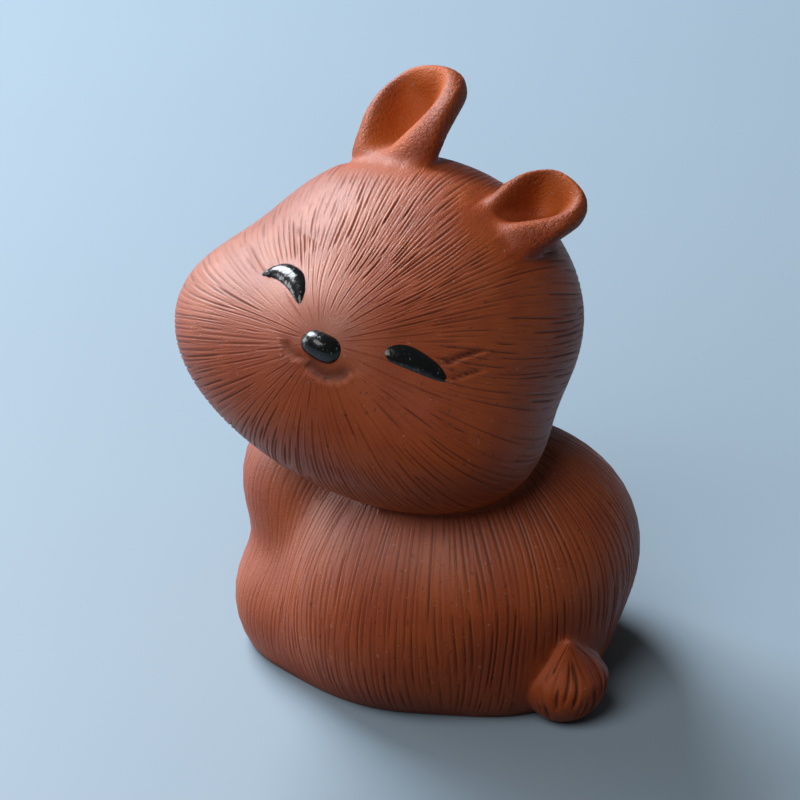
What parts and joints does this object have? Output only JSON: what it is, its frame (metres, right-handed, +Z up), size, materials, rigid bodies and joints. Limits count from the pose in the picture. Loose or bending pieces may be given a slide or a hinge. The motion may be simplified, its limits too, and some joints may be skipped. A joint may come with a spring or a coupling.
{
  "type": "tea pet",
  "caption": "Seated rabbit figure in unglazed red clay for a tea tray, combed like fur, its head turned back over the haunch, with glazed eyes and nose, hollow with a vent in its flat foot.",
  "frame": {"origin": "on the ground below the middle of the figure's overall box", "axes": "+Z up from the flat foot; the face looks to -Y, a little to -X and upwards, and the body's breast points to +Y and -X"},
  "size_m": [0.0463, 0.0431, 0.0579],
  "materials": {
    "red_clay": "satin unglazed clay, combed",
    "black_glaze": "glossy black glaze"
  },
  "bodies": {
    "root": {"rabbit_figure": "red_clay"}
  },
  "joints": []
}
